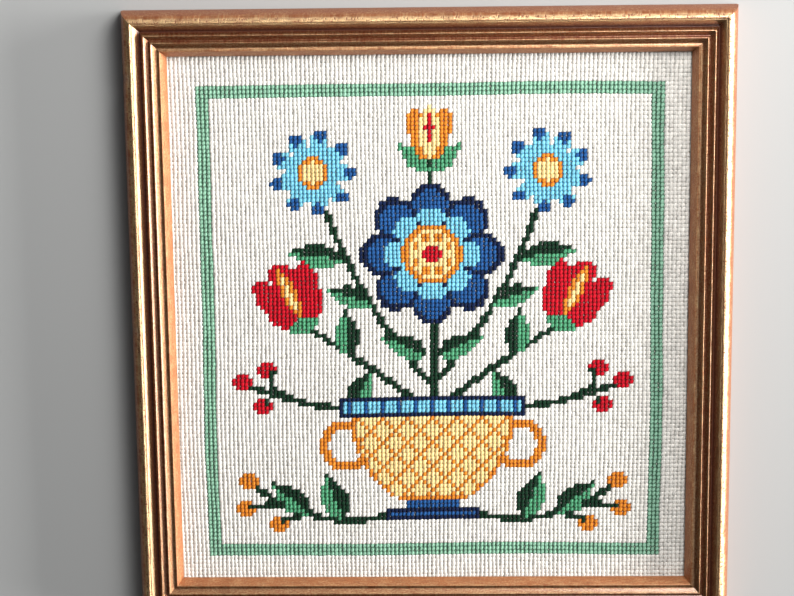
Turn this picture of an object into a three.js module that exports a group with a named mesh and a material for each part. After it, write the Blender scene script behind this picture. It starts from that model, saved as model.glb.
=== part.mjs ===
// A needlepoint picture in a mitred, reeded wooden frame, lying on its back with its face up.
// Millimetres, +X to the picture's right, +Y to its top, +Z out of its face, origin under its middle.
import * as THREE from 'three';

// Sizes of the needlework, in stitches and in millimetres
const stitchPitch = 2.54;          // ten canvas threads to the inch
const sightStitchesAcross = 123.4; // what the frame leaves in view
const sightStitchesDown = 128.4;
const sightWidth = sightStitchesAcross * stitchPitch;
const sightHeight = sightStitchesDown * stitchPitch;
const canvasThickness = 2.0;       // canvas with wool on both faces
const boardThickness = 3.0;

// Sizes of the moulding, across its face and up from its back
const mouldingWidth = 27.2;
const outerSideHeight = 8.0;       // upright part of the outer side
const rebateWidth = 6.0;           // what the lip covers of the needlework
const ledgeHeight = 10.8;          // underside of the lip
const sightEdgeHeight = 12.0;      // front of the lip at the edge of the view
const arcSteps = 5;                // straight pieces in each rounded form

// Gaps
const seatGap = 0.3;               // between pieces that touch
const mitreSetback = seatGap / Math.SQRT2;

// Profile of the moulding: across is the distance out from the sight edge, up the height above the back.
// A rounded form runs from one point to another, and swell or pull is the height that bends it.
const lip = { across: 2.7, up: 19.2, bulgeAcross: 3.3, bulgeUp: 19.5, endUp: 18.7 };
const innerHollow = { from: 3.5, to: 6.1, pull: 16.6, endUp: 17.4 };
const reeds = [
  { from: 6.1, to: 11.1, startUp: 17.4, swell: 22.6, endUp: 18.3 },
  { from: 11.5, to: 15.5, startUp: 18.5, swell: 23.1, endUp: 18.7 },
];
const deepGroove = { from: 15.9, to: 16.9, up: 17.0 };
const fillet = { from: 17.2, to: 18.7, up: 19.5 };
const quirk = { across: 19.1, up: 18.9 };     // narrow nick between the fillet and the crest
const crest = { from: 19.5, to: 23.5, startUp: 20.5, swell: 23.2, endUp: 20.9 };
const shoulder = { bulgeAcross: 25.6, bulgeUp: 17.0 };

function mouldingShape() {
  const shape = new THREE.Shape();
  shape.moveTo(0, ledgeHeight);
  shape.lineTo(0, sightEdgeHeight);
  shape.lineTo(lip.across, lip.up);
  shape.quadraticCurveTo(lip.bulgeAcross, lip.bulgeUp, innerHollow.from, lip.endUp);
  shape.quadraticCurveTo(
    (innerHollow.from + innerHollow.to) / 2, innerHollow.pull, innerHollow.to, innerHollow.endUp,
  );
  for (const reed of reeds) {
    shape.lineTo(reed.from, reed.startUp);
    shape.quadraticCurveTo((reed.from + reed.to) / 2, reed.swell, reed.to, reed.endUp);
  }
  shape.lineTo(deepGroove.from, deepGroove.up);
  shape.lineTo(deepGroove.to, deepGroove.up);
  shape.lineTo(fillet.from, fillet.up);
  shape.lineTo(fillet.to, fillet.up);
  shape.lineTo(quirk.across, quirk.up);
  shape.lineTo(crest.from, crest.startUp);
  shape.quadraticCurveTo((crest.from + crest.to) / 2, crest.swell, crest.to, crest.endUp);
  shape.quadraticCurveTo(shoulder.bulgeAcross, shoulder.bulgeUp, mouldingWidth, outerSideHeight);
  shape.lineTo(mouldingWidth, 0);
  shape.lineTo(rebateWidth, 0);
  shape.lineTo(rebateWidth, ledgeHeight);
  shape.closePath();
  return shape;
}

// One rail: the moulding run straight, its ends cut to the mitre. A point lies further along the rail
// the further out it is across the moulding.
function railGeometry(sightLength) {
  const geometry = new THREE.ExtrudeGeometry(mouldingShape(), {
    depth: 1, steps: 1, bevelEnabled: false, curveSegments: arcSteps,
  });
  const position = geometry.attributes.position;
  for (let i = 0; i < position.count; i += 1) {
    const across = position.getX(i);
    const up = position.getY(i);
    const end = position.getZ(i) > 0.5 ? 1 : -1;
    const along = end * (sightLength / 2 + across - mitreSetback);
    position.setXYZ(i, along, across, up);
  }
  geometry.computeVertexNormals();
  return geometry;
}

const giltWood = new THREE.MeshStandardMaterial({ color: 0xb07a3c, roughness: 0.4, metalness: 0.6 });
const wool = new THREE.MeshStandardMaterial({ color: 0xe9e2d2, roughness: 0.95, metalness: 0 });
const greyBoard = new THREE.MeshStandardMaterial({ color: 0x8f7a5e, roughness: 0.9, metalness: 0 });

const rails = [
  { name: 'rail_top', turn: 0, sightLength: sightWidth, reach: sightHeight / 2 },
  { name: 'rail_left', turn: Math.PI / 2, sightLength: sightHeight, reach: sightWidth / 2 },
  { name: 'rail_bottom', turn: Math.PI, sightLength: sightWidth, reach: sightHeight / 2 },
  { name: 'rail_right', turn: -Math.PI / 2, sightLength: sightHeight, reach: sightWidth / 2 },
];

function makeRail({ name, turn, sightLength, reach }) {
  const rail = new THREE.Mesh(railGeometry(sightLength), giltWood.clone());
  rail.name = name;
  rail.rotation.z = turn;
  rail.position.set(-reach * Math.sin(turn), reach * Math.cos(turn), 0);
  return rail;
}

// A flat sheet that fills the rebate but for the gap round it
function makeRebateSheet(name, thickness, topHeight, material) {
  const spare = 2 * (rebateWidth - seatGap);
  const geometry = new THREE.BoxGeometry(sightWidth + spare, sightHeight + spare, thickness);
  const sheet = new THREE.Mesh(geometry, material);
  sheet.name = name;
  sheet.position.z = topHeight - thickness / 2;
  return sheet;
}

const canvasTop = ledgeHeight - seatGap;
const boardTop = canvasTop - canvasThickness - seatGap;

const picture = new THREE.Group();
for (const rail of rails) {
  picture.add(makeRail(rail));
}
picture.add(makeRebateSheet('stitched_canvas', canvasThickness, canvasTop, wool));
picture.add(makeRebateSheet('backing_board', boardThickness, boardTop, greyBoard));

export default picture;
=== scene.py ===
import math

import bpy
import numpy as np
from bpy.props import FloatProperty, FloatVectorProperty, IntProperty, PointerProperty
from mathutils import Euler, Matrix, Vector


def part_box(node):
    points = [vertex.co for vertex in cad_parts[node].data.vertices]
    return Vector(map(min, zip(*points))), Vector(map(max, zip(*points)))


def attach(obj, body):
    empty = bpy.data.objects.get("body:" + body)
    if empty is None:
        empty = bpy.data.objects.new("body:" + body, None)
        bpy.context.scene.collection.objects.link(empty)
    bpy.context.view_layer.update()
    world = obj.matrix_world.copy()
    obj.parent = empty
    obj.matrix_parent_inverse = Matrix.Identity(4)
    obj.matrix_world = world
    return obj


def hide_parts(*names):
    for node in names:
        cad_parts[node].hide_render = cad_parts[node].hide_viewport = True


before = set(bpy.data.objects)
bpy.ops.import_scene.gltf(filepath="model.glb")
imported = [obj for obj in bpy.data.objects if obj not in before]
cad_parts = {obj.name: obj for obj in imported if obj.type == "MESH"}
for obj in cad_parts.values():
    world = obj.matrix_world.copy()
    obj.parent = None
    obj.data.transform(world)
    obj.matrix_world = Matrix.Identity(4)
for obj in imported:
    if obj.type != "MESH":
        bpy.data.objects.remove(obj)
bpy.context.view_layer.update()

bl_info = {
    "name": "Framed Needlepoint",
    "version": (1, 0, 0),
    "blender": (4, 5, 0),
    "location": "3D View > Sidebar > Needlepoint",
    "description": "Dresses a needlepoint picture in its gilt frame: rails, canvas, wool stitches and studio",
    "category": "Object",
}

BODY = "root"
MM = 0.001
CANVAS_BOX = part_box("stitched_canvas")
SEAT_GAP = 0.3 * MM


# Sizes and colours that a user changes

def number(name, description, default, unit="NONE"):
    """A number that can't be negative, shown in the scene's units."""
    return FloatProperty(name=name, description=description, default=default, min=0.0, unit=unit)


def colour(name, description, default):
    """A linear colour property."""
    return FloatVectorProperty(name=name, description=description, default=default, subtype="COLOR",
                               size=3, min=0.0, max=1.0)


class MouldingSizes(bpy.types.PropertyGroup):
    """Sizes of the frame's moulding and how worn its gilding is."""
    width: number("Width", "Width of the moulding's face", 27.2 * MM, "LENGTH")
    rebate: number("Rebate", "How far the lip covers the needlework", 6.0 * MM, "LENGTH")
    ledge: number("Ledge", "Height of the lip's underside above the back", 10.8 * MM, "LENGTH")
    sight: number("Sight edge", "Height of the lip's front beside the needlework", 12.0 * MM, "LENGTH")
    side: number("Upright side", "Height of the upright part of the outer side", 8.0 * MM, "LENGTH")
    mitre_gap: number("Mitre gap", "Width of the line at each mitre", 0.12 * MM, "LENGTH")
    step: number("Step", "Length of one step along a rail", 2.0 * MM, "LENGTH")
    bends: IntProperty(name="Bend steps", description="Straight pieces in a rounded form", default=7, min=3)
    wander: number("Wander", "How far the worked surface strays from straight", 0.06 * MM, "LENGTH")
    wear: number("Wear", "How much of the gilding is rubbed through", 0.29)


class NeedleworkSizes(bpy.types.PropertyGroup):
    """Sizes of the stitches and the canvas."""
    pitch: number("Pitch", "Distance from one stitch to the next", 2.54 * MM, "LENGTH")
    middle_across: FloatProperty(name="Middle across", description="Middle of the border, to the right",
                                 default=0.34 * MM, unit="LENGTH")
    middle_up: FloatProperty(name="Middle up", description="Middle of the border, towards the top",
                             default=-1.72 * MM, unit="LENGTH")
    lean: FloatProperty(name="Lean", description="Slope of a stitch, up from level",
                        default=math.radians(66), subtype="ANGLE")
    reach: number("Reach", "Length of a stitch, in pitches", 1.44)
    breadth: number("Breadth", "Width of a stitch, in pitches", 1.12)
    plump: number("Plumpness", "Height of a stitch, in pitches", 0.48)
    uneven: number("Unevenness", "Share by which stitches differ", 0.06)
    drift: number("Drift", "How far rows wander, in pitches", 0.16)
    canvas: number("Canvas", "Thickness of the bare canvas", 0.6 * MM, "LENGTH")
    seed: IntProperty(name="Seed", description="Start of the random draws", default=41)


class WoolColours(bpy.types.PropertyGroup):
    """Colours of the wools."""
    cream: colour("Cream", "Ground", (0.79, 0.755, 0.695))
    jade: colour("Jade", "Border", (0.20, 0.36, 0.26))
    leaf: colour("Leaf green", "Light side of the leaves", (0.065, 0.25, 0.13))
    forest: colour("Forest green", "Stems and the dark side of the leaves", (0.004, 0.026, 0.011))
    navy: colour("Navy", "Outlines of the blue flower", (0.003, 0.010, 0.042))
    royal: colour("Royal blue", "Petals of the blue flower", (0.012, 0.07, 0.21))
    sky: colour("Sky blue", "Daisies and inner petals", (0.155, 0.42, 0.54))
    red: colour("Red", "Tulips and berries", (0.40, 0.003, 0.013))
    orange: colour("Orange", "Trellis, handles, bud and berries", (0.54, 0.185, 0.018))
    straw: colour("Straw", "Bowl and flower hearts", (0.74, 0.55, 0.25))


class FinishColours(bpy.types.PropertyGroup):
    """Colours of the frame, canvas and board."""
    gold: colour("Gold", "Bright bronze gilding", (0.84, 0.60, 0.31))
    copper: colour("Copper", "Redder gilding, in patches and on the lip and outer side", (0.50, 0.195, 0.078))
    bole: colour("Bole", "Red-brown ground under the gilding", (0.20, 0.048, 0.016))
    # This colour is dark wax and painted shade in the grooves.
    patina: colour("Patina", "Dark wax left in the grooves", (0.075, 0.020, 0.008))
    bare_wood: colour("Bare wood", "Back of the rails", (0.50, 0.33, 0.18))
    mesh: colour("Canvas mesh", "Bare canvas between the stitches", (0.80, 0.76, 0.69))
    board: colour("Board", "Backing board", (0.30, 0.22, 0.14))
    floor: colour("Floor", "Studio floor", (0.43, 0.43, 0.42))


class StudioSettings(bpy.types.PropertyGroup):
    """Camera and lights."""
    camera_place: FloatVectorProperty(name="Camera", description="Where the camera stands",
                                      default=(0.0149, 0.2473, 1.2169), subtype="TRANSLATION", unit="LENGTH")
    camera_turn: FloatVectorProperty(
        name="Camera turn", description="How the camera is turned", subtype="EULER",
        default=(math.radians(-10.919), math.radians(1.553), math.radians(-0.691)))
    lens: number("Lens", "Focal length, in millimetres on a 36 mm sensor", 91.25)
    key: number("Key", "Power of the main light", 11.0, "POWER")
    strip: number("Strip", "Power of the low light at the right", 48.0, "POWER")
    top: number("Top", "Power of the low light beyond the top", 0.5, "POWER")
    sky_level: number("Sky", "Strength of the light from all round", 0.74)


# The chart: which wool each stitch has. Its lengths are in stitches and its places are from the border's
# middle, right and up. What stands on both sides is given for the right.

BORDER_ACROSS = 111
BORDER_UP = 116
BORDER_WIDE = 3
MARGIN_SIDES = 7
MARGIN_TOP = 8
MARGIN_BOTTOM = 6
CURVE_POINTS = 90
LEAF_FULLNESS = 0.8  # below 1, a leaf is widest nearer its root
MIDDLE_STEM, MIDDLE_STEM_HALF = ((0, -20), (1, -8), (0, 4)), 1.0  # start, bend, end
SIDE_STEMS = (((3, -20), (12, -12), (31, 0)), ((1, -14), (16, 2), (25, 27)),
              ((7, -20), (24, -23), (44, -15)), ((9, -47), (26, -53), (43, -41)))
SIDE_STEM_HALF = 0.8
LEAVES = (  # root, length, half width, turn
    ((15, -12), 13, 2.9, -152), ((20, -8), 12, 3.0, -6), ((14, 5), 12, 2.8, -72), ((21, 16), 14, 3.0, -82),
    ((22, -49), 13, 3.2, -20), ((30, -48), 13, 3.0, -48), ((1, -8), 13, 2.8, -66),
)
BERRIES = (((46, -14), "red"), ((40, -11), "red"), ((41, -20), "red"),
           ((45, -39), "orange"), ((46, -46), "orange"), ((38, -50), "orange"))
BERRY_RADIUS = 2.3
BERRY_STALKS = (  # root, tip
    ((34, -17.5), (40, -11)), ((36, -17), (41, -20)), ((37, -45), (46, -46)), ((33, -48), (38, -50)),
)
STALK_HALF, STALK_SHORT = 0.6, 1.5  # a stalk ends a little before its tip
HANDLE_MIDDLE, HANDLE_RADIUS, HANDLE_HALF = (21, -30), 5.2, 1.1
BOWL_TOP, BOWL_BOTTOM, BOWL_HALF, BOWL_WALL = -22, -44, 20, 1.3
BOWL_DEEP = 24  # how deep the bowl would be if its rounding closed
TRELLIS_STEP = 6
RIM_BOTTOM, RIM_TOP, RIM_HALF = -21.5, -19.5, 21
RIM_PANEL = 4
BASE_BLOCKS = (  # wool, bottom, top, half width
    ("royal", -46, -44, 6), ("navy", -49, -46, 11), ("royal", -48, -47, 10),
)
TULIP_FOOT = (31, 0)
TULIP_LEAN = -24
TULIP_PETALS = ((-30, 7.6, 3.3), (30, 7.6, 3.3), (0, 8.6, 3.6))  # turn, half length, half width
TULIP_PETAL_OUT = 8.2  # from the foot to a petal's middle
TULIP_HEART_OUT = 8.6
TULIP_HEARTS = (("orange", 6.2, 1.7), ("straw", 4.6, 0.7))  # wool, half length, half width
TULIP_CUP = (2.0, 3.4)
DAISY_MIDDLE = (28, 37)
DAISY_PETALS = 9
DAISY_TURN = 12
DAISY_PETAL_OUT, DAISY_PETAL = 6.2, (4.3, 2.1)
DAISY_TIP_OUT, DAISY_TIP = 9.0, 1.5
DAISY_HEARTS = (("orange", 3.9), ("straw", 2.6))  # wool, radius
BUD_STEM = ((0, 32), (0, 36), (0, 40))
BUD_LEAF = ((0, 37), 10, 2.3, -48)  # root, length, half width, turn
BUD_PETALS = (  # wool, middle, half length, half width, turn
    ("orange", (2.3, 46), 6.4, 2.6, -14), ("straw", (0, 46.5), 6.2, 2.4, 0), ("red", (0, 47.5), 3.4, 1.0, 0),
)
ROSE_MIDDLE = (0, 17)
ROSE_PETALS = 8
ROSE_INNER, ROSE_LOBE = 13.2, 4.2  # radius between two petals, and what a petal adds
ROSE_ROUNDING, ROSE_RIM = 0.7, 1.7
ROSE_SKY_SHARE, ROSE_SKY_MORE = 0.62, 0.6
ROSE_PARTING, ROSE_PARTING_FROM = 0.16, 8
ROSE_HEARTS = (("orange", 7.3), ("straw", 5.9))  # wool, radius
ROSE_DOTS_OUT, ROSE_DOT = 4.3, 0.9
ROSE_SPOT = 2.3


def chart_axes():
    """Distance of each stitch's middle from the border's middle, in stitches: right and up."""
    x = np.arange(BORDER_ACROSS + 2 * MARGIN_SIDES) - MARGIN_SIDES - (BORDER_ACROSS - 1) / 2
    y = np.arange(BORDER_UP + MARGIN_TOP + MARGIN_BOTTOM) - MARGIN_BOTTOM - (BORDER_UP - 1) / 2
    return np.meshgrid(x, y)


def turned(x, y, middle, turn):
    """Distances along and aside of an axis that is turned anticlockwise from straight up, in degrees."""
    angle = math.radians(turn)
    dx, dy = x - middle[0], y - middle[1]
    return dy * math.cos(angle) - dx * math.sin(angle), dx * math.cos(angle) + dy * math.sin(angle)


def oval(x, y, middle, half_long, half_wide, turn=0.0):
    """The stitches inside an ellipse."""
    along, aside = turned(x, y, middle, turn)
    return (along / half_long) ** 2 + (aside / half_wide) ** 2 <= 1


def leaf_halves(x, y, root, long, half_wide, turn):
    """The stitches of a pointed leaf, left and right of its rib."""
    along, aside = turned(x, y, root, turn)
    half = half_wide * np.sin(math.pi * np.clip(along / long, 0, 1) ** LEAF_FULLNESS)
    body = (along >= 0) & (along <= long) & (np.abs(aside) <= half)
    return body & (aside < 0), body & (aside >= 0)


def stroke(x, y, start, bend, end, half_wide):
    """The stitches along a curve from start to end that is pulled towards bend."""
    nearest = np.full(x.shape, np.inf)
    for t in np.linspace(0, 1, CURVE_POINTS):
        px, py = ((1 - t) ** 2 * a + 2 * t * (1 - t) * b + t ** 2 * c for a, b, c in zip(start, bend, end))
        nearest = np.minimum(nearest, np.hypot(x - px, y - py))
    return nearest <= half_wide


def block(x, y, bottom, top, half_wide):
    """The stitches between two heights and near enough to the middle."""
    return (y >= bottom) & (y <= top) & (np.abs(x) <= half_wide)


def both_sides(*points):
    """The points on the right, then their mirror images on the left, with the side's sign."""
    for side in (1, -1):
        yield side, [(side * px, py) for px, py in points]


def beyond(start, distance, turn):
    """The point at a distance from another, towards a turn anticlockwise from straight up, in degrees."""
    angle = math.radians(turn)
    return start[0] - distance * math.sin(angle), start[1] + distance * math.cos(angle)


def chart_stems(chart, x, y):
    """Stems that spread from the bowl."""
    chart[stroke(x, y, *MIDDLE_STEM, MIDDLE_STEM_HALF)] = "forest"
    for curve in SIDE_STEMS:
        for _, points in both_sides(*curve):
            chart[stroke(x, y, *points, SIDE_STEM_HALF)] = "forest"


def chart_leaves(chart, x, y):
    """Leaves with one half dark and one light."""
    for root, long, half_wide, turn in LEAVES:
        for side, (place,) in both_sides(root):
            halves = leaf_halves(x, y, place, long, half_wide, side * turn)
            dark, light = halves if side > 0 else reversed(halves)
            chart[dark] = "forest"
            chart[light] = "leaf"


def chart_berries(chart, x, y):
    """Berries on short stalks, low at both sides."""
    for middle, wool in BERRIES:
        for _, (spot,) in both_sides(middle):
            chart[oval(x, y, spot, BERRY_RADIUS, BERRY_RADIUS)] = wool
    for root, tip in BERRY_STALKS:
        for _, points in both_sides(root, (tip[0], root[1]), (tip[0] - STALK_SHORT, tip[1])):
            chart[stroke(x, y, *points, STALK_HALF)] = "forest"


def chart_bowl(chart, x, y):
    """A footed bowl with a trellis, a blue rim and ring handles."""
    for _, (middle,) in both_sides(HANDLE_MIDDLE):
        away = np.hypot(x - middle[0], y - middle[1])
        chart[np.abs(away - HANDLE_RADIUS) <= HANDLE_HALF] = "orange"
    half = BOWL_HALF * np.sqrt(1 - np.clip((BOWL_TOP - y) / BOWL_DEEP, 0, 1) ** 2)
    body = block(x, y, BOWL_BOTTOM, BOWL_TOP, half)
    inside = block(x, y, BOWL_BOTTOM + 1, BOWL_TOP, half - BOWL_WALL)
    column, row = np.round(x).astype(int), np.round(y - 0.5).astype(int)
    chart[body] = "orange"
    chart[inside] = "straw"
    chart[inside & (((column + row) % TRELLIS_STEP == 0) | ((column - row) % TRELLIS_STEP == 0))] = "orange"
    rim = block(x, y, RIM_BOTTOM, RIM_TOP, RIM_HALF)
    chart[block(x, y, RIM_BOTTOM - 1, RIM_TOP + 1, RIM_HALF + 1)] = "navy"
    chart[rim] = "sky"
    chart[rim & (column % RIM_PANEL == 0)] = "royal"
    for wool, bottom, top, base_half in BASE_BLOCKS:
        chart[block(x, y, bottom, top, base_half)] = wool


def chart_tulips(chart, x, y):
    """Red tulips at both sides, leaning outwards."""
    for side, (foot,) in both_sides(TULIP_FOOT):
        lean = TULIP_LEAN * side
        for turn, half_long, half_wide in TULIP_PETALS:
            middle = beyond(foot, TULIP_PETAL_OUT, lean + turn)
            chart[oval(x, y, middle, half_long, half_wide, lean + turn / 2)] = "red"
        heart = beyond(foot, TULIP_HEART_OUT, lean)
        for wool, half_long, half_wide in TULIP_HEARTS:
            chart[oval(x, y, heart, half_long, half_wide, lean)] = wool
        chart[oval(x, y, foot, *TULIP_CUP, lean)] = "leaf"


def chart_daisies(chart, x, y):
    """Blue daisies in the upper corners."""
    for side, (middle,) in both_sides(DAISY_MIDDLE):
        for step in range(DAISY_PETALS):
            turn = step * 360 / DAISY_PETALS + DAISY_TURN * side
            chart[oval(x, y, beyond(middle, DAISY_PETAL_OUT, turn), *DAISY_PETAL, turn)] = "sky"
            chart[oval(x, y, beyond(middle, DAISY_TIP_OUT, turn), DAISY_TIP, DAISY_TIP)] = "royal"
        for wool, radius in DAISY_HEARTS:
            chart[oval(x, y, middle, radius, radius)] = wool


def chart_bud(chart, x, y):
    """A bud at the top of the middle stem."""
    chart[stroke(x, y, *BUD_STEM, SIDE_STEM_HALF)] = "forest"
    root, long, half_wide, turn = BUD_LEAF
    for side, (place,) in both_sides(root):
        near, far = leaf_halves(x, y, place, long, half_wide, side * turn)
        chart[near | far] = "leaf"
    for wool, middle, half_long, half_wide, turn in BUD_PETALS:
        for side, (place,) in both_sides(middle):
            chart[oval(x, y, place, half_long, half_wide, side * turn)] = wool


def chart_rosette(chart, x, y):
    """The large blue flower in the middle, with eight lobed petals."""
    dx, dy = x - ROSE_MIDDLE[0], y - ROSE_MIDDLE[1]
    away = np.hypot(dx, dy)
    lobes = np.abs(np.cos(ROSE_PETALS / 2 * np.arctan2(dx, dy)))
    edge = ROSE_INNER + ROSE_LOBE * lobes ** ROSE_ROUNDING
    chart[away <= edge] = "navy"
    chart[away <= edge - ROSE_RIM] = "royal"
    chart[away <= ROSE_SKY_SHARE * edge + ROSE_SKY_MORE] = "sky"
    chart[(lobes < ROSE_PARTING) & (away > ROSE_PARTING_FROM) & (away <= edge)] = "navy"
    for wool, radius in ROSE_HEARTS:
        chart[away <= radius] = wool
    for step in range(ROSE_PETALS):
        dot = beyond(ROSE_MIDDLE, ROSE_DOTS_OUT, -(step + 0.5) * 360 / ROSE_PETALS)
        chart[oval(x, y, dot, ROSE_DOT, ROSE_DOT)] = "orange"
    chart[away <= ROSE_SPOT] = "red"


def make_chart():
    """The name of each stitch's wool, with its distances from the border's middle."""
    x, y = chart_axes()
    chart = np.full(x.shape, "cream", dtype="<U8")
    for draw in (chart_stems, chart_leaves, chart_berries, chart_bowl, chart_tulips, chart_daisies,
                 chart_bud, chart_rosette):
        draw(chart, x, y)
    outside = np.maximum(np.abs(x) - BORDER_ACROSS / 2, np.abs(y) - BORDER_UP / 2)
    chart[(outside < 0) & (outside > -BORDER_WIDE)] = "jade"
    return chart, x, y, outside > 0


# Mesh and node helpers

def make_object(name, vertices, faces, *materials):
    """A smooth-shaded mesh object of that name."""
    mesh = bpy.data.meshes.new(name)
    mesh.from_pydata(vertices, [], faces)
    mesh.polygons.foreach_set("use_smooth", np.ones(len(mesh.polygons), dtype=bool))
    for material in materials:
        mesh.materials.append(material)
    mesh.update()
    made = bpy.data.objects.new(name, mesh)
    bpy.context.scene.collection.objects.link(made)
    return made


def store(mesh, name, values):
    """Keeps one number for each vertex, for the materials."""
    kept = mesh.attributes.new(name, "FLOAT", "POINT")
    kept.data.foreach_set("value", np.asarray(values, dtype=np.float32))


def add_node(tree, kind, inputs=None, **settings):
    """A shader node with its settings. Its inputs, by name or number, are linked to outputs or given values,
    and a colour may come without its fourth part."""
    made = tree.nodes.new("ShaderNode" + kind)
    for key, value in settings.items():
        setattr(made, key, value)
    for key, value in (inputs or {}).items():
        socket = made.inputs[key]
        if isinstance(value, bpy.types.NodeSocket):
            tree.links.new(value, socket)
        else:
            socket.default_value = (*value, 1.0)[:4] if socket.type == "RGBA" else value
    return made


def mix(tree, factor, low, high):
    """A colour between low and high."""
    return add_node(tree, "Mix", {0: factor, 6: low, 7: high}, data_type="RGBA").outputs[2]


def calculate(tree, operation, *values, clamp=False):
    """A number worked out from others."""
    inputs = dict(enumerate(values))
    return add_node(tree, "Math", inputs, operation=operation, use_clamp=clamp).outputs[0]


def plus(tree, value, factor, base, clamp=False):
    """A number with factor times another added."""
    return calculate(tree, "MULTIPLY_ADD", value, factor, base, clamp=clamp)


def product(tree, *values):
    """Several numbers multiplied together."""
    result = values[0]
    for value in values[1:]:
        result = calculate(tree, "MULTIPLY", result, value)
    return result


def scaled(tree, tone, factor):
    """A colour made lighter or darker."""
    return add_node(tree, "VectorMath", {0: tone, "Scale": factor}, operation="SCALE").outputs[0]


def spread(tree, value, low, high, new_low=0.0, new_high=1.0):
    """A value moved from one range to another and held inside it."""
    inputs = {0: value, 1: low, 2: high, 3: new_low, 4: new_high}
    return add_node(tree, "MapRange", inputs).outputs[0]


def noise(tree, place, scale, detail=3.0, roughness=0.55):
    """Noise with cells of about 1/scale metres."""
    inputs = {"Vector": place, "Scale": scale, "Detail": detail, "Roughness": roughness}
    return add_node(tree, "TexNoise", inputs).outputs["Fac"]


def own_place(tree):
    """The piece's own coordinates."""
    return add_node(tree, "TexCoord").outputs["Object"]


def stretched_place(tree, turn, stretch):
    """The piece's own coordinates, turned about Z and then squeezed along X by stretch."""
    turned_place = add_node(tree, "Mapping", {0: own_place(tree), 2: (0, 0, -turn)}).outputs[0]
    return add_node(tree, "Mapping", {0: turned_place, 3: (1 / stretch, 1, 1)}).outputs[0]


def stored(tree, name):
    """The number that a mesh keeps at each vertex."""
    return add_node(tree, "Attribute", attribute_name=name).outputs["Fac"]


# Node groups: a function fills each one in and gives what comes out

COLOUR, NUMBER, PLACE = "NodeSocketColor", "NodeSocketFloat", "NodeSocketVector"
WHITE, BLACK = (1, 1, 1, 1), (0, 0, 0, 1)
# Depth sets the painted shade between the strands; the last input is a painted highlight that lightens each
# stitch's crown.
STRAND_INPUTS = {"Dye": (COLOUR, WHITE), "Fade": (NUMBER, 0.12), "Depth": (NUMBER, 0.6),
                 "Crown": (NUMBER, 1.0)}
# The fourth colour is dark wax and painted shade for the grooves.
GILDING_INPUTS = {"Gold": (COLOUR, WHITE), "Copper": (COLOUR, WHITE), "Bole": (COLOUR, BLACK),
                  "Patina": (COLOUR, BLACK), "Wear": (NUMBER, 0.5)}
FIBRE_INPUTS = {"Tone": (COLOUR, WHITE), "Place": (PLACE, (0, 0, 0)), "Streak scale": (NUMBER, 500.0),
                "Depth": (NUMBER, 0.4)}
SOFT_GRAIN = 2.0  # detail of a noise with little fine grain
STRAND_PLIES = 5.0  # plies round a strand
PLY_TURNS = 1.15  # turns of a ply in half a stitch
FIBRE_LEAN = math.radians(63)
FIBRE_STRETCH = 5.0
FIBRE_CELLS = 5200  # this and the next six are in cells to the metre
WOOL_PATCH_CELLS = 38
BRUSH_CELLS = 1500
CLOUD_CELLS = 110
SPECK_CELLS = 700
GRAIN_CELLS = 2600
DUST_CELLS = 1500
BRUSH_LENGTH = 0.08  # cells along the rail for one across it, so brush marks are long
RED_FROM_COPPER, RED_FROM_CLOUDS, RED_FROM_SPECKS = 0.7, 0.8, 1.4
# How far the hollows are pulled towards the bole: dark wax and painted shade.
WAX_AND_SHADE_IN_HOLLOWS = 0.45
EDGE_WEAR = 0.17
ROUGHER_EDGE, ROUGHER_COPPER, ROUGHER_WAX = 0.12, 0.14, 0.08


def made_group(fill, inputs):
    """The node group that a function fills in, made once. Each input has a kind and a starting value."""
    name = fill.__name__.replace("_", " ").capitalize()
    if name in bpy.data.node_groups:
        return bpy.data.node_groups[name]
    group = bpy.data.node_groups.new(name, "ShaderNodeTree")
    for label, (kind, value) in inputs.items():
        group.interface.new_socket(label, in_out="INPUT", socket_type=kind).default_value = value
    results = fill(group, group.nodes.new("NodeGroupInput").outputs)
    for label in results:
        kind = COLOUR if label == "Colour" else NUMBER
        group.interface.new_socket(label, in_out="OUTPUT", socket_type=kind)
    end = group.nodes.new("NodeGroupOutput")
    for label, value in results.items():
        group.links.new(value, end.inputs[label])
    return group


def dyed_strand(group, given):
    """Wool: plies twisted round each other with painted shade in the grooves between them, fine fibres, a
    shade that differs from stitch to stitch, painted shade low down between the strands and a painted
    highlight on each stitch's upper part."""
    plies = product(group, stored(group, "around"), STRAND_PLIES)
    twist = product(group, stored(group, "along"), PLY_TURNS)
    phase = product(group, calculate(group, "ADD", plies, twist), 2 * math.pi)
    ply = spread(group, calculate(group, "SINE", phase), -1, 1)
    fibres = noise(group, stretched_place(group, FIBRE_LEAN, FIBRE_STRETCH), FIBRE_CELLS, SOFT_GRAIN)
    patches = noise(group, own_place(group), WOOL_PATCH_CELLS, SOFT_GRAIN)
    dyed = plus(group, spread(group, stored(group, "dye"), 0, 1, -1, 1), given["Fade"], 1.0)
    # The ply term darkens the colour where the plies dip: painted shade between the plies.
    shade = product(group, dyed, spread(group, fibres, 0.25, 0.75, 0.88, 1.06),
                    spread(group, ply, 0, 0.5, 0.80, 1.0), spread(group, patches, 0.3, 0.7, 0.96, 1.03))
    # Painted shade: low down between the strands the colour goes towards the dye squared, by the depth input.
    sunk = product(group, spread(group, stored(group, "crown"), 0.98, 0.72), given["Depth"])
    deep = add_node(group, "VectorMath", {0: given["Dye"], 1: given["Dye"]}, operation="MULTIPLY").outputs[0]
    # Painted highlight: the crown factor lightens the dye on each stitch's upper part.
    shaded_and_highlit = mix(group, sunk, scaled(group, given["Dye"], given["Crown"]), deep)
    return {"Colour": scaled(group, shaded_and_highlit, shade), "Height": plus(group, fibres, 0.35, ply)}


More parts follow.
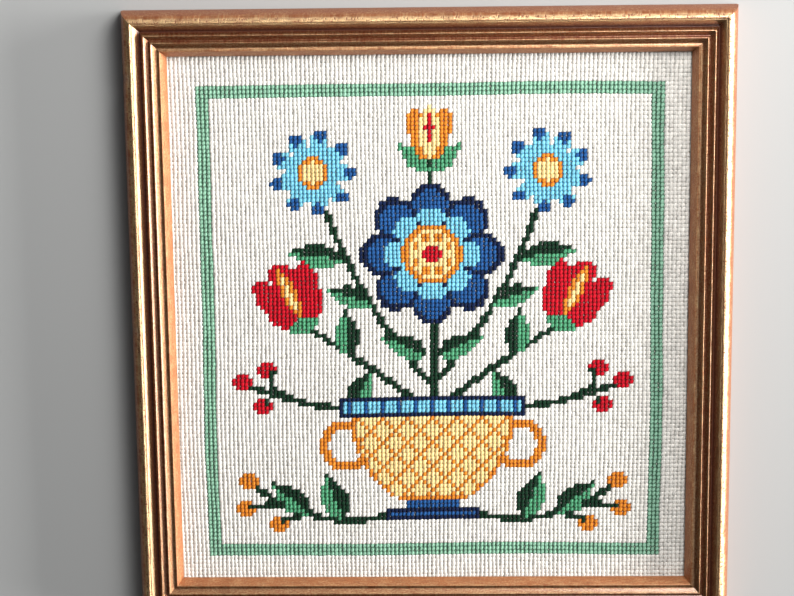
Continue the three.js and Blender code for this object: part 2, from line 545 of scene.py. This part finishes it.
def worn_gilding(group, given):
    """Bronze gilding: gold and copper brushed on along the rail, worn to its red ground in specks on the
    crest, with dark wax and painted shade in the hollows."""
    run, across = stored(group, "run"), stored(group, "across")
    place = add_node(group, "CombineXYZ", {0: run, 1: across}).outputs[0]
    brushed = add_node(group, "CombineXYZ", {0: product(group, run, BRUSH_LENGTH), 1: across}).outputs[0]
    streaks = noise(group, brushed, BRUSH_CELLS, 3.0, 0.6)
    clouds = noise(group, place, CLOUD_CELLS, 4.0, 0.6)
    specks = noise(group, place, SPECK_CELLS, 3.0, 0.7)
    grain = noise(group, place, GRAIN_CELLS, SOFT_GRAIN, 0.6)
    copper, edge = stored(group, "copper"), stored(group, "edge wear")
    hollow, waxed = stored(group, "hollow"), stored(group, "waxed")
    redness = plus(group, clouds, RED_FROM_CLOUDS, product(group, copper, RED_FROM_COPPER))
    redness = plus(group, specks, RED_FROM_SPECKS, redness)
    gilt = mix(group, spread(group, redness, 1.05, 1.80), given["Gold"], given["Copper"])
    gilt = mix(group, spread(group, streaks, 0.42, 0.64, 0.0, 0.55), gilt, given["Bole"])
    toned = product(group, waxed, spread(group, specks, 0.35, 0.65, 0.42, 0.76))
    # Dark wax and painted shade: the hollows are pulled towards the bole.
    gilt = mix(group, plus(group, hollow, WAX_AND_SHADE_IN_HOLLOWS, toned, clamp=True), gilt, given["Bole"])
    worn = plus(group, edge, EDGE_WEAR, given["Wear"])
    rubbed = spread(group, calculate(group, "SUBTRACT", specks, worn), 0.02, -0.04, 0.0, 0.95)
    gilt = mix(group, rubbed, gilt, given["Bole"])
    # Dark wax and painted shade in the grooves: a darker, duller coat wherever the hollow share is high.
    wax_and_shade_mask = spread(group, plus(group, calculate(group, "SUBTRACT", specks, 0.5), 0.6, hollow), 0.58, 1.05)
    bare = calculate(group, "MAXIMUM", rubbed, wax_and_shade_mask)
    rough = spread(group, bare, 0, 1, 0.24, 0.5)
    rough = calculate(group, "ADD", rough, spread(group, grain, 0.3, 0.7, -0.04, 0.08))
    for mask, more in ((edge, ROUGHER_EDGE), (copper, ROUGHER_COPPER), (waxed, ROUGHER_WAX)):
        rough = plus(group, mask, more, rough)
    metal = plus(group, copper, -0.5, spread(group, bare, 0.0, 1.0, 0.95, 0.15), clamp=True)
    height = product(group, grain, 0.25)
    for relief, depth in ((specks, 0.6), (streaks, 0.35), (rubbed, -0.3)):
        height = plus(group, relief, depth, height)
    return {"Colour": mix(group, wax_and_shade_mask, gilt, given["Patina"]), "Metal": metal, "Roughness": rough,
            "Wax": plus(group, copper, -0.9, 0.9, clamp=True), "Height": height}


def fibrous(group, given):
    """Long streaks and fine specks, for bare wood, pressed board and canvas thread."""
    streaks = noise(group, given["Place"], given["Streak scale"], 4.0)
    specks = noise(group, own_place(group), DUST_CELLS, SOFT_GRAIN)
    sunk = product(group, spread(group, streaks, 0.35, 0.68, 1.0, 0.0), given["Depth"])
    shade = calculate(group, "SUBTRACT", spread(group, specks, 0.3, 0.7, 0.9, 1.06), sunk)
    return {"Colour": scaled(group, given["Tone"], shade), "Height": plus(group, specks, 0.4, streaks)}


# Materials

WOOL_SHADER = {"Roughness": 0.72, "Specular IOR Level": 0.14, "Sheen Weight": 0.02, "Sheen Roughness": 0.5}
GILT_SHADER = {"Specular IOR Level": 0.3, "Coat Roughness": 0.22}
CROWN_LIFT = 0.7  # painted highlight: how much lighter a wool with full depth is on its crown
WOOL_RELIEF = 0.12 * MM
GILT_RELIEF = 0.55 * MM
FIBRE_RELIEF = 0.15 * MM
WOOD_LOOK = (14.0, 900.0, 0.35, 0.7)  # this and the next two: stretch, streak scale, depth, roughness
MESH_LOOK = (1.0, 1600.0, 0.5, 0.95)
BOARD_LOOK = (3.0, 260.0, 0.3, 0.85)
BOARD_TURN = 0.4


def new_material(name, presets):
    """A material with its node tree and its Principled shader, whose constant inputs are set."""
    material = bpy.data.materials.new(name)
    material.use_nodes = True
    shader = material.node_tree.nodes["Principled BSDF"]
    for label, value in presets.items():
        shader.inputs[label].default_value = value
    return material, material.node_tree, shader


def grouped(tree, group, **inputs):
    """Places a node group and fills its inputs."""
    inputs = {key.replace("_", " "): value for key, value in inputs.items()}
    return add_node(tree, "Group", inputs, node_tree=group)


def roughen(tree, shader, height, strength, distance):
    """Small relief on a surface."""
    bump = add_node(tree, "Bump", {"Strength": strength, "Distance": distance, "Height": height})
    tree.links.new(bump.outputs[0], shader.inputs["Normal"])


def wool_material(wool, tint, depth):
    """Matt wool of one dye, with painted shade by depth where the strands dip between each other and a
    painted highlight on the crowns.
    """
    material, tree, shader = new_material("wool_" + wool, WOOL_SHADER)
    strand = grouped(tree, made_group(dyed_strand, STRAND_INPUTS), Dye=tint, Depth=depth,
                     Crown=1.0 + CROWN_LIFT * depth)
    tree.links.new(strand.outputs["Colour"], shader.inputs["Base Color"])
    roughen(tree, shader, strand.outputs["Height"], 0.6, WOOL_RELIEF)
    return material


def gilding_material(colours, wear):
    """The face of the frame."""
    material, tree, shader = new_material("worn_gilding", GILT_SHADER)
    # The fourth colour goes on as dark wax and painted shade in the grooves.
    gilding = grouped(tree, made_group(worn_gilding, GILDING_INPUTS), Gold=colours.gold,
                      Copper=colours.copper, Bole=colours.bole, Patina=colours.patina, Wear=wear)
    for label, target in (("Colour", "Base Color"), ("Metal", "Metallic"), ("Roughness", "Roughness"),
                          ("Wax", "Coat Weight")):
        tree.links.new(gilding.outputs[label], shader.inputs[target])
    roughen(tree, shader, gilding.outputs["Height"], 1.0, GILT_RELIEF)
    return material


def fibrous_material(name, tone, turn, stretch, scale, depth, roughness):
    """A fibrous surface whose streaks run along X when turn is nought."""
    material, tree, shader = new_material(name, {"Roughness": roughness})
    fibres = grouped(tree, made_group(fibrous, FIBRE_INPUTS), Tone=tone, Depth=depth, Streak_scale=scale,
                     Place=stretched_place(tree, turn, stretch))
    tree.links.new(fibres.outputs["Colour"], shader.inputs["Base Color"])
    roughen(tree, shader, fibres.outputs["Height"], 0.4, FIBRE_RELIEF)
    return material


# The moulding

PROFILE = (  # form; pull across and up, or none for a straight stretch; end across and up, in millimetres
    ("lip slope", None, (3.1, 18.0)),
    ("lip crest", (3.35, 18.35), (3.75, 18.15)),
    ("hollow", (4.5, 17.3), (5.6, 17.5)),
    ("inner reed, slope in", None, (7.9, 19.8)),
    ("inner reed, crown", (8.25, 20.15), (8.7, 19.8)),
    ("inner reed, slope out", None, (9.4, 18.5)),
    ("quirk between the reeds", (9.7, 18.0), (10.1, 18.2)),
    ("outer reed, slope in", None, (12.3, 20.3)),
    ("outer reed, crown", (12.65, 20.65), (13.1, 20.2)),
    ("outer reed, slope out", None, (14.8, 17.3)),
    ("deep groove", (15.2, 16.6), (15.9, 18.0)),
    ("bevel", None, (18.4, 20.35)),
    ("bead", (18.85, 20.95), (19.3, 20.95)),
    ("nick", (19.5, 20.8), (19.75, 21.4)),
    ("crest", (20.1, 22.4), (21.6, 21.4)),
    ("slope of the crest", (22.9, 20.7), (24.0, 19.6)),
)
SHOULDER_PULL = (25.9, 17.0)  # what rounds the outer shoulder, across and up
EASED_EDGE = 0.4 * MM  # width of the flat that takes off the back's outer edge
CROWN_LINE = ((3.3, 18.0), (6.2, 18.9), (8.3, 20.1), (12.7, 20.5), (18.9, 21.1))  # across, up
GROOVED_FROM, GROOVED_TO = 4.4, 18.2  # the stretch with grooves, across
GROOVED_ABOVE = 14.0  # only the face has grooves, and it lies higher than this
GROOVE_FULL = 3.0  # how far below the line over the crowns a groove gets its full dark wax and painted shade
ZONES = (  # across in millimetres, edge wear, copper, wax
    (0.0, 0.1, 1.0, 0.0), (2.6, 0.1, 1.0, 0.1), (3.6, 0.1, 0.6, 0.5), (4.4, 0.0, 0.1, 0.6),
    (6.0, 0.0, 0.1, 1.0), (16.5, 0.0, 0.1, 1.0), (18.4, 0.5, 0.1, 0.3), (19.6, 0.9, 0.1, 0.0),
    (22.2, 0.9, 0.2, 0.0), (23.4, 0.2, 0.8, 0.6), (27.2, 0.1, 1.0, 1.0),
)
RAILS = (  # name, turn about Z, index of the sight size along it
    ("rail_top", 0.0, 0), ("rail_left", math.pi / 2, 1),
    ("rail_bottom", math.pi, 0), ("rail_right", -math.pi / 2, 1),
)
RAIL_SHIFT = 0.7  # metres by which each rail's gilding is shifted from the last one's
DENTS = {  # rail: along and across in millimetres, radius, depth
    "rail_left": ((-4, 23.6, 2.6, 1.1), (150, 24.4, 3.4, 1.3), (60, 21.0, 1.4, 0.35)),
    "rail_right": ((133, 24.2, 2.4, 0.9), (-52, 21.8, 1.5, 0.4)),
    "rail_top": ((42, 22.3, 1.6, 0.4), (-96, 24.0, 1.8, 0.5)),
    "rail_bottom": ((-70, 24.0, 2.2, 0.6), (88, 21.5, 1.5, 0.4)),
}
DENT_STEEPNESS = 1.5
OUTER_FACE = 22 * MM  # from here outwards a dent also pushes the face inwards
DENT_SIDEWAYS = 0.4  # by this share of its depth
RIPPLES = (55, 130, 310, 520)  # rates of the waves along a rail, in radians to the metre
RIPPLE_SKEW = 90  # how much such waves may slant, in radians to the metre across
SHARP = math.radians(50)  # a fold sharper than this shows as an edge


class Outline:
    """Points round a profile, in metres: across from the sight edge and up from the back."""

    def __init__(self, across, up, bends):
        self.points = [(across, up)]
        self.bends = bends

    def line(self, across, up):
        """A straight stretch to a point in millimetres."""
        self.points.append((across * MM, up * MM))

    def bend(self, pull_across, pull_up, across, up):
        """A rounded stretch to a point, pulled towards another, all in millimetres."""
        start, pull, end = self.points[-1], (pull_across * MM, pull_up * MM), (across * MM, up * MM)
        for step in range(1, self.bends + 1):
            t = step / self.bends
            self.points.append(tuple((1 - t) ** 2 * a + 2 * t * (1 - t) * b + t ** 2 * c
                                     for a, b, c in zip(start, pull, end)))


def moulding_outline(sizes):
    """The moulding's face from the lip to the outer side, as points, and the back that closes it."""
    face = Outline(0.0, sizes.ledge, sizes.bends)
    face.points.append((0.0, sizes.sight))
    for _, pull, end in PROFILE:
        if pull:
            face.bend(*pull, *end)
        else:
            face.line(*end)
    face.bend(*SHOULDER_PULL, sizes.width / MM, sizes.side / MM)
    back = [(sizes.width, EASED_EDGE), (sizes.width - EASED_EDGE, 0.0),
            (sizes.rebate, 0.0), (sizes.rebate, sizes.ledge)]
    return np.array(face.points), np.array(back)


def hollow_share(outline):
    """How deep each point lies below the line over the crowns, from 0 on a crown to 1 in a full groove; the
    gilding gets dark wax and painted shade by it.
    """
    across, up = outline[:, 0] / MM, outline[:, 1] / MM
    over = np.interp(across, *np.array(CROWN_LINE).T)
    share = np.clip((over - up) / GROOVE_FULL, 0, 1)
    grooved = (across > GROOVED_FROM) & (across < GROOVED_TO) & (up > GROOVED_ABOVE)
    return np.where(grooved, share, 0.0)


def zone_shares(outline):
    """How worn at the edge, how coppery and how waxed each point of the outline is."""
    places, *columns = np.array(ZONES).T
    return {label: np.interp(outline[:, 0] / MM, places, column)
            for label, column in zip(("edge wear", "copper", "waxed"), columns)}


def dent_depths(name, along, across):
    """How far each point of a rail's face is pushed in, in metres."""
    depth = np.zeros(np.broadcast(along, across).shape)
    for middle, out, radius, deepest in DENTS[name]:
        away = np.hypot(along - middle * MM, across - out * MM) / (radius * MM)
        depth += deepest * MM * np.exp(-away ** 2 * DENT_STEEPNESS)
    return depth


def build_rail(name, turn, shift, sight, reach, sizes, materials, draw):
    """One mitred rail, with the unevenness of a worked and handled surface. It lies beside a sight opening of
    that length, reach away from the middle."""
    face, back = moulding_outline(sizes)
    outline = np.vstack((face, back))
    steps = max(8, round((sight + 2 * sizes.width) / sizes.step))
    share = np.linspace(-1, 1, steps + 1)[:, None]
    along = share * (sight / 2 + outline[None, :, 0] - sizes.mitre_gap / math.sqrt(2))
    across = np.broadcast_to(outline[None, :, 0], along.shape).copy()
    up = np.broadcast_to(outline[None, :, 1], along.shape).copy()
    on_face = np.zeros(len(outline))
    on_face[2:len(face)] = 1.0
    ripples = draw.uniform(0, 2 * math.pi, (len(RIPPLES), 2))
    wander = sum(np.sin(along * rate + start + across * skew) for (start, skew), rate
                 in zip(ripples * (1, RIPPLE_SKEW), RIPPLES)) / len(RIPPLES)
    dents = on_face * dent_depths(name, along, across)
    up += on_face * sizes.wander * wander - dents
    across -= DENT_SIDEWAYS * dents * (across > OUTER_FACE)
    vertices = np.stack((along, across + reach, up), axis=-1).reshape(-1, 3)
    cosine, sine = math.cos(turn), math.sin(turn)
    vertices = vertices @ np.array(((cosine, sine, 0), (-sine, cosine, 0), (0, 0, 1)))
    count = len(outline)
    faces = [tuple(range(count)), tuple(range(steps * count + count - 1, steps * count - 1, -1))]
    ring = np.arange(count)
    for step in range(steps):
        low, high = step * count + ring, step * count + np.roll(ring, -1)
        faces.extend(zip(low, low + count, high + count, high))
    rail = make_object("gilt_" + name, vertices.tolist(), [tuple(map(int, one)) for one in faces], *materials)
    bare = np.zeros(count, dtype=int)
    bare[len(face):] = 1
    slots = np.concatenate(([1, 1], np.tile(bare, steps)))
    rail.data.polygons.foreach_set("material_index", slots.astype(np.int32))
    shares = {"hollow": hollow_share(outline), "across": outline.sum(axis=1), **zone_shares(outline)}
    for label, values in shares.items():
        store(rail.data, label, np.tile(values, steps + 1))
    store(rail.data, "run", along.ravel() + shift)
    rail.data.set_sharp_from_angle(angle=SHARP)
    return rail


# The stitches and their canvas

STITCH_RINGS = ((-0.82, 0.82), (-0.36, 0.98), (0.36, 0.98), (0.82, 0.82))  # share of half length, of width
STITCH_SECTION = ((0, -0.9), (1, -0.1), (0.68, 0.68), (0, 1), (-0.68, 0.68), (-1, -0.1))  # across, up
STITCH_SAG = 0.46  # how far a stitch dips towards its ends, in half heights
STITCH_TIP = -0.55  # height of its ends, in half heights
SLOPE_STRAY = math.radians(3.5)  # how much the stitches' slopes differ
PLACE_STRAY = 0.03  # how much their places differ, in pitches
SIZE_LIMITS = (0.8, 1.2)  # what their sizes stay between
DRIFT_ACROSS = ((0.061, 0.021, 1.1, 1.0), (0.117, -0.034, 0.0, 0.6), (0.29, 1.0, 0.0, 0.3))
DRIFT_UP = ((0.0, 0.053, 0.5, 1.0), (0.041, 0.103, 2.0, 0.6))
STITCH_REST = 0.5  # depth of a stitch's middle below the top, in stitch heights
CANVAS_REST = 0.62  # depth of the bare canvas below the top, in stitch heights
CANVAS_PANELS = 24
GROUND_BANDS = 3  # pieces that the ground inside the border is stitched in
WOOLS = {  # how much painted shade each wool's colour gets between the strands; the painted highlight on its crown grows with it too
    "cream": 0.0, "jade": 1.0, "forest": 0.95, "leaf": 0.95, "navy": 0.95, "royal": 0.95, "sky": 0.85,
    "red": 0.95, "orange": 0.8, "straw": 0.45,
}


def stitch_form(sizes):
    """One stitch along X, in metres: its points, its faces, and for each point its place along and around
    the strand and its height above the canvas, as shares."""
    half_long, half_wide = sizes.reach * sizes.pitch / 2, sizes.breadth * sizes.pitch / 2
    half_high = sizes.plump * sizes.pitch / 2
    points, along, around = [], [], []
    for share, size in STITCH_RINGS:
        for side, (aside, up) in enumerate(STITCH_SECTION):
            points.append((share * half_long, half_wide * size * aside,
                           half_high * (size * up - STITCH_SAG * share ** 2)))
            along.append(share)
            around.append(side / len(STITCH_SECTION))
    for share in (-1, 1):
        points.append((share * half_long, 0.0, STITCH_TIP * half_high))
        along.append(share)
        around.append(0.5)
    faces, rings, sides = [], len(STITCH_RINGS), len(STITCH_SECTION)
    for ring in range(rings - 1):
        for side in range(sides):
            a, b = ring * sides + side, ring * sides + (side + 1) % sides
            faces.append((a, a + sides, b + sides, b))
    first_tip, last = rings * sides, (rings - 1) * sides
    for side in range(sides):
        after = (side + 1) % sides
        faces.append((first_tip, side, after))
        faces.append((first_tip + 1, last + after, last + side))
    points = np.array(points)
    height = points[:, 2]
    crown = (height - height.min()) / (height.max() - height.min())
    return points, faces, {"along": along, "around": around, "crown": crown}


def waves(x, y, table):
    """Waves added up, each with its rate by y and by x, its start and its share."""
    return sum(share * np.sin(by_y * y + by_x * x + start) for by_y, by_x, start, share in table)


def drifted(x, y, sizes):
    """Middles of stitches, in metres, where the canvas has pulled a little out of square."""
    return (sizes.middle_across + sizes.pitch * (x + sizes.drift * waves(x, y, DRIFT_ACROSS)),
            sizes.middle_up + sizes.pitch * (y + sizes.drift * waves(x, y, DRIFT_UP)))


def build_stitches(name, x, y, sizes, material, draw):
    """Many stitches of one wool as one piece."""
    form, faces, shares = stitch_form(sizes)
    count = len(x)
    uneven = draw.normal(1.0, sizes.uneven, (count, 3)).clip(*SIZE_LIMITS)
    slope = sizes.lean + draw.normal(0.0, SLOPE_STRAY, count)
    stray_x, stray_y = draw.normal(0, PLACE_STRAY, count), draw.normal(0, PLACE_STRAY, count)
    middle_x, middle_y = drifted(x + stray_x, y + stray_y, sizes)
    top = CANVAS_BOX[1].z - STITCH_REST * sizes.plump * sizes.pitch
    local = form[None] * uneven[:, None, :]
    cosine, sine = np.cos(slope)[:, None], np.sin(slope)[:, None]
    points = np.stack((middle_x[:, None] + local[..., 0] * cosine - local[..., 1] * sine,
                       middle_y[:, None] + local[..., 0] * sine + local[..., 1] * cosine,
                       np.minimum(top + local[..., 2], CANVAS_BOX[1].z)), axis=-1)
    starts = np.arange(count) * len(form)
    all_faces = [tuple(start + corner for corner in face) for start in starts.tolist() for face in faces]
    made = make_object(name, points.reshape(-1, 3).tolist(), all_faces, material)
    for label, values in shares.items():
        store(made.data, label, np.tile(values, count))
    store(made.data, "dye", np.repeat(draw.uniform(0, 1, count), len(form)))
    return made


def build_canvas(sizes, material):
    """The flat canvas under the stitches, as a thin closed sheet."""
    low, high = CANVAS_BOX
    top = high.z - CANVAS_REST * sizes.plump * sizes.pitch
    x, y = np.meshgrid(*(np.linspace(low[axis], high[axis], CANVAS_PANELS + 1) for axis in (0, 1)))
    upper = np.stack((x, y, np.full(x.shape, top)), axis=-1).reshape(-1, 3)
    lower = upper - np.array((0, 0, sizes.canvas))
    index = np.arange(x.size).reshape(x.shape)
    a, b = index[:-1, :-1].ravel(), index[:-1, 1:].ravel()
    c, d = index[1:, 1:].ravel(), index[1:, :-1].ravel()
    faces = list(zip(a, b, c, d)) + list(zip(d + x.size, c + x.size, b + x.size, a + x.size))
    rim = np.concatenate((index[0, :], index[1:, -1], index[-1, -2::-1], index[-2:0:-1, 0]))
    after = np.roll(rim, -1)
    faces += list(zip(rim, rim + x.size, after + x.size, after))
    canvas = make_object("canvas", np.vstack((upper, lower)).tolist(),
                         [tuple(map(int, face)) for face in faces], material)
    canvas.data.set_sharp_from_angle(angle=SHARP)
    return canvas


# Operators, one for each piece or group of like pieces

RAIL_SEED = 7


class NEEDLEPOINT_OT_rails(bpy.types.Operator):
    """Build the four gilt rails"""
    bl_idname = "needlepoint.rails"
    bl_label = "Gilt rails"

    def execute(self, context):
        sizes, colours = context.scene.moulding_sizes, context.scene.finish_colours
        bare = fibrous_material("bare_wood", colours.bare_wood, 0.0, *WOOD_LOOK)
        upright = fibrous_material("bare_wood_upright", colours.bare_wood, math.pi / 2, *WOOD_LOOK)
        gilding = gilding_material(colours, sizes.wear)
        half_sight = [CANVAS_BOX[1][axis] - (sizes.rebate - SEAT_GAP) for axis in (0, 1)]
        draw = np.random.default_rng(RAIL_SEED)
        for place, (name, turn, axis) in enumerate(RAILS):
            materials = (gilding, upright if axis else bare)
            rail = build_rail(name, turn, RAIL_SHIFT * place, 2 * half_sight[axis], half_sight[1 - axis],
                              sizes, materials, draw)
            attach(rail, BODY)
            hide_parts(name)
        return {"FINISHED"}


class NEEDLEPOINT_OT_needlework(bpy.types.Operator):
    """Stitch the ground, the border and the flowers on their canvas"""
    bl_idname = "needlepoint.needlework"
    bl_label = "Canvas and stitches"

    def execute(self, context):
        sizes, wools = context.scene.needlework_sizes, context.scene.wool_colours
        mesh = fibrous_material("canvas_mesh", context.scene.finish_colours.mesh, 0.0, *MESH_LOOK)
        canvas = build_canvas(sizes, mesh)
        chart, x, y, margin = make_chart()
        draw = np.random.default_rng(sizes.seed)
        pieces = []
        for wool, depth in WOOLS.items():
            material = wool_material(wool, getattr(wools, wool), depth)
            for name, zone in stitch_zones(wool, chart, y, margin):
                pieces.append(build_stitches(name, x[zone], y[zone], sizes, material, draw))
        for piece in (canvas, *pieces):
            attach(piece, BODY)
        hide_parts("stitched_canvas")
        return {"FINISHED"}


class NEEDLEPOINT_OT_board(bpy.types.Operator):
    """Finish the backing board"""
    bl_idname = "needlepoint.board"
    bl_label = "Backing board"

    def execute(self, context):
        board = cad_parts["backing_board"]
        tone = context.scene.finish_colours.board
        board.data.materials.clear()
        board.data.materials.append(fibrous_material("pressed_board", tone, BOARD_TURN, *BOARD_LOOK))
        return {"FINISHED"}


class NEEDLEPOINT_OT_studio(bpy.types.Operator):
    """Set the floor, the camera and the lights"""
    bl_idname = "needlepoint.studio"
    bl_label = "Studio"

    def execute(self, context):
        settings = context.scene.studio_settings
        build_floor(context.scene.finish_colours.floor)
        build_camera(context.scene, settings)
        context.scene.world = build_sky(settings.sky_level)
        context.scene.view_settings.view_transform = "Standard"
        for name, place, across, up, fan in LIGHTS:
            build_light(name, getattr(settings, name), place, across, up, fan)
        return {"FINISHED"}


def stitch_zones(wool, chart, y, margin):
    """The pieces that one wool is stitched in: a name and a mask for each."""
    same = chart == wool
    if wool != "cream":
        return [("wool_" + wool, same)]
    zones = [("wool_ground_margin", same & margin)]
    limits = np.linspace(-BORDER_UP / 2, BORDER_UP / 2, GROUND_BANDS + 1)
    for band, (low, high) in enumerate(zip(limits, limits[1:])):
        zones.append((f"wool_ground_{band + 1}", same & ~margin & (y > low) & (y <= high)))
    return zones


FLOOR_HALF = 4.0  # metres
FLOOR_CLOUD_CELLS = 3.0
FLOOR_SHADE = 0.97  # how dark the floor's soft clouds are
FLOOR_ROUGHNESS = 0.9
SENSOR_WIDTH = 36.0  # millimetres
SKY_TINT = (0.95, 0.97, 1.0, 1.0)
SKY_MIDDLE = (0.70, 0.34, 0.63)  # where the sky is lightest, as a direction
SKY_EDGE = 0.4  # cosine of the angle from there at which it is darkest
LOW_SKY = 0.02  # strength of the darkest sky, as a share of the lightest
LIGHTS = (  # name, place, size across and up, spread in degrees
    ("key", (0.40, 0.62, 0.74), 0.5, 0.5, 180),
    ("strip", (2.40, 0.10, 0.50), 1.9, 0.60, 100),
    ("top", (0.25, 1.55, 0.56), 1.2, 0.22, 100),
)


def build_sky(strength):
    """Soft light from all round, stronger from one side."""
    world = bpy.data.worlds.new("Soft sky")
    world.use_nodes = True
    tree = world.node_tree
    way = add_node(tree, "TexCoord").outputs["Generated"]
    facing = add_node(tree, "VectorMath", {0: way, 1: SKY_MIDDLE}, operation="DOT_PRODUCT")
    level = spread(tree, facing.outputs["Value"], SKY_EDGE, 1.0, LOW_SKY * strength, strength)
    background = tree.nodes["Background"]
    background.inputs["Color"].default_value = SKY_TINT
    tree.links.new(level, background.inputs["Strength"])
    return world


def build_floor(tint):
    """A wide pale floor that the picture lies on."""
    material, tree, shader = new_material("studio_floor", {"Roughness": FLOOR_ROUGHNESS})
    clouds = noise(tree, own_place(tree), FLOOR_CLOUD_CELLS)
    shade = mix(tree, clouds, tuple(FLOOR_SHADE * channel for channel in tint), tuple(tint))
    tree.links.new(shade, shader.inputs["Base Color"])
    corners = [(FLOOR_HALF * x, FLOOR_HALF * y, 0) for x, y in ((-1, -1), (1, -1), (1, 1), (-1, 1))]
    floor = make_object("studio_floor", corners, [(0, 1, 2, 3)], material)


def build_camera(scene, settings):
    """The camera, at the angle that the picture is seen from."""
    data = bpy.data.cameras.new("Camera")
    data.lens = settings.lens
    data.sensor_width = SENSOR_WIDTH
    camera = bpy.data.objects.new("Camera", data)
    camera.location = settings.camera_place
    camera.rotation_euler = Euler(settings.camera_turn, "XYZ")
    scene.collection.objects.link(camera)
    scene.camera = camera


def build_light(name, power, place, across, up, fan):
    """A soft light that faces the middle of the picture."""
    data = bpy.data.lights.new(name, "AREA")
    data.energy = power
    data.shape = "RECTANGLE"
    data.size = across
    data.size_y = up
    data.spread = math.radians(fan)
    lamp = bpy.data.objects.new(name, data)
    lamp.location = place
    lamp.rotation_euler = (-Vector(place)).to_track_quat("-Z", "Y").to_euler()
    bpy.context.scene.collection.objects.link(lamp)


class NEEDLEPOINT_PT_panel(bpy.types.Panel):
    """Everything that the picture is built from"""
    bl_label = "Framed needlepoint"
    bl_idname = "NEEDLEPOINT_PT_panel"
    bl_space_type = "VIEW_3D"
    bl_region_type = "UI"
    bl_category = "Needlepoint"

    def draw(self, context):
        for title, settings in SETTINGS.items():
            box = self.layout.box()
            box.label(text=title.replace("_", " ").capitalize())
            for name in settings.__annotations__:
                box.prop(getattr(context.scene, title), name)
        for operator in OPERATORS:
            self.layout.operator(operator.bl_idname)


SETTINGS = {"moulding_sizes": MouldingSizes, "needlework_sizes": NeedleworkSizes, "wool_colours": WoolColours,
            "finish_colours": FinishColours, "studio_settings": StudioSettings}
OPERATORS = (NEEDLEPOINT_OT_rails, NEEDLEPOINT_OT_needlework, NEEDLEPOINT_OT_board, NEEDLEPOINT_OT_studio)


def register():
    """Adds the settings, the operators and the panel."""
    for title, settings in SETTINGS.items():
        bpy.utils.register_class(settings)
        setattr(bpy.types.Scene, title, PointerProperty(type=settings))
    for made in (*OPERATORS, NEEDLEPOINT_PT_panel):
        bpy.utils.register_class(made)


def unregister():
    """Takes them away again."""
    for made in (NEEDLEPOINT_PT_panel, *reversed(OPERATORS)):
        bpy.utils.unregister_class(made)
    for title, settings in reversed(SETTINGS.items()):
        delattr(bpy.types.Scene, title)
        bpy.utils.unregister_class(settings)


def main():
    """Builds the picture and its studio."""
    register()
    bpy.ops.needlepoint.rails()
    bpy.ops.needlepoint.needlework()
    bpy.ops.needlepoint.board()
    bpy.ops.needlepoint.studio()


if __name__ == "__main__":
    main()
